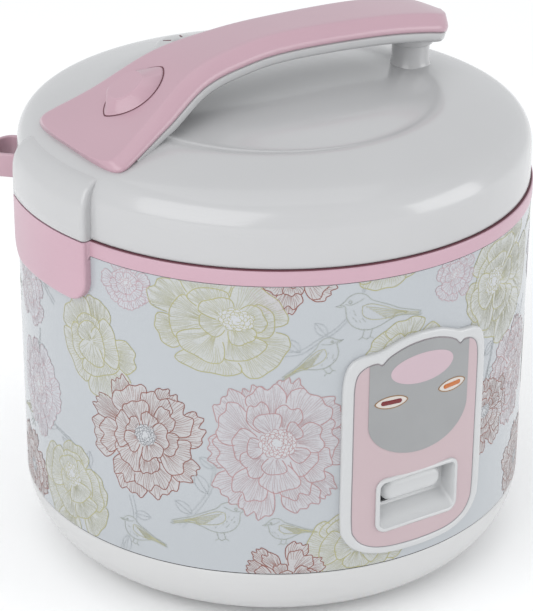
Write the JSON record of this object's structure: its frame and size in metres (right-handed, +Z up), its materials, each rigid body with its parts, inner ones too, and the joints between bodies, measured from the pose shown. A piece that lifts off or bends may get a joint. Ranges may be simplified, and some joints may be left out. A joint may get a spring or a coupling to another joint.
{
  "type": "rice cooker",
  "caption": "Jar rice cooker: round printed body, hinged lid with fixed carrying handle, release button and latch, front panel with lamps and cooking lever, fixed inner pot.",
  "frame": {"origin": "bottom centre of the body, on the plane its feet stand on", "axes": "+Z up along the body's axis; the control panel faces -Y, the latch is at -X, the lid hinge at +X and the power inlet at +Y"},
  "size_m": [0.273, 0.269, 0.2798],
  "materials": {
    "white_shell": "gloss",
    "pink_trim": "gloss",
    "pale_pink_panel": "satin",
    "silver_badge": "satin silver",
    "printed_sleeve": "gloss, printed with flowers and birds",
    "liner_white": "satin",
    "grey_rubber": "matt",
    "steel": "brushed",
    "aluminium": "satin",
    "non_stick": "speckled non-stick",
    "black_plastic": "matt",
    "brass_parts": "plated",
    "board_green": "laminate",
    "red_lens": "translucent",
    "orange_lens": "translucent"
  },
  "bodies": {
    "root": {"base_cup": "white_shell", "base_screw_1": "steel", "base_screw_2": "steel", "base_screw_3": "steel", "body_sleeve": "printed_sleeve", "cook_bulb": "liner_white", "cook_lens": "red_lens", "foot_1": "grey_rubber", "foot_2": "grey_rubber", "foot_3": "grey_rubber", "foot_4": "grey_rubber", "heater_leg_1": "steel", "heater_leg_2": "steel", "heater_leg_3": "steel", "heating_plate": "aluminium", "hinge_pin": "steel", "inlet_pin_1": "brass_parts", "inlet_pin_2": "brass_parts", "inlet_pin_3": "brass_parts", "inner_pot": "non_stick", "lamp_board": "board_green", "latch_catch": "steel", "lever_bracket": "steel", "lever_pin": "steel", "lever_recess": "white_shell", "micro_switch": "black_plastic", "panel_badge": "silver_badge", "panel_bezel": "white_shell", "panel_face": "pale_pink_panel", "power_inlet": "black_plastic", "scoop_holder": "pink_trim", "sensor_cup": "steel", "sensor_spring": "steel", "side_heater": "aluminium", "terminal_block": "liner_white", "thermal_fuse": "brass_parts", "upper_ring": "pink_trim", "warm_bulb": "liner_white", "warm_lens": "orange_lens", "well_liner": "steel"},
    "lid": {"lid_shell": "white_shell", "lid_liner": "liner_white", "inner_lid": "aluminium", "lid_seal": "grey_rubber", "inner_lid_knob": "grey_rubber", "steam_vent": "white_shell", "handle_grip": "pink_trim", "handle_underside": "white_shell", "handle_screw": "steel", "latch_pin": "steel"},
    "button": {"release_button": "pink_trim"},
    "latch": {"latch_hook": "liner_white"},
    "lever": {"cook_lever": "white_shell"},
    "magnet": {"magnet_cup": "black_plastic"},
    "sensor": {"sensor_cap": "aluminium"}
  },
  "joints": [
    {"name": "lid_hinge", "type": "hinge", "parent": "root", "child": "lid", "pos_m": [0.1338, 0, 0.208], "axis": [0, 1, 0], "range_deg": [0, 85]},
    {"name": "button_press", "type": "slide", "parent": "lid", "child": "button", "axis": [0, 0, -1], "range_m": [0, 0.003], "stiffness_N_per_m": 300, "springref_m": -0.003},
    {"name": "latch_tilt", "type": "hinge", "parent": "lid", "child": "latch", "pos_m": [-0.112, 0, 0.2255], "axis": [0, 1, 0], "range_deg": [0, 5.8]},
    {"name": "lever_tilt", "type": "hinge", "parent": "root", "child": "lever", "pos_m": [0, -0.035, 0.028], "axis": [1, 0, 0], "range_deg": [0, 4], "stiffness_Nm_per_rad": 0.5, "springref_deg": -5.73},
    {"name": "magnet_lift", "type": "slide", "parent": "root", "child": "magnet", "axis": [0, 0, 1], "range_m": [0, 0.0026]},
    {"name": "sensor_press", "type": "slide", "parent": "root", "child": "sensor", "axis": [0, 0, -1], "range_m": [0, 0.0015], "stiffness_N_per_m": 400, "springref_m": -0.003, "deforming": ["sensor_spring"]}
  ],
  "couplings": [
    {"joint": "latch_tilt", "follows": "button_press", "rad_per_m": 33},
    {"joint": "magnet_lift", "follows": "lever_tilt", "m_per_rad": 0.035}
  ]
}
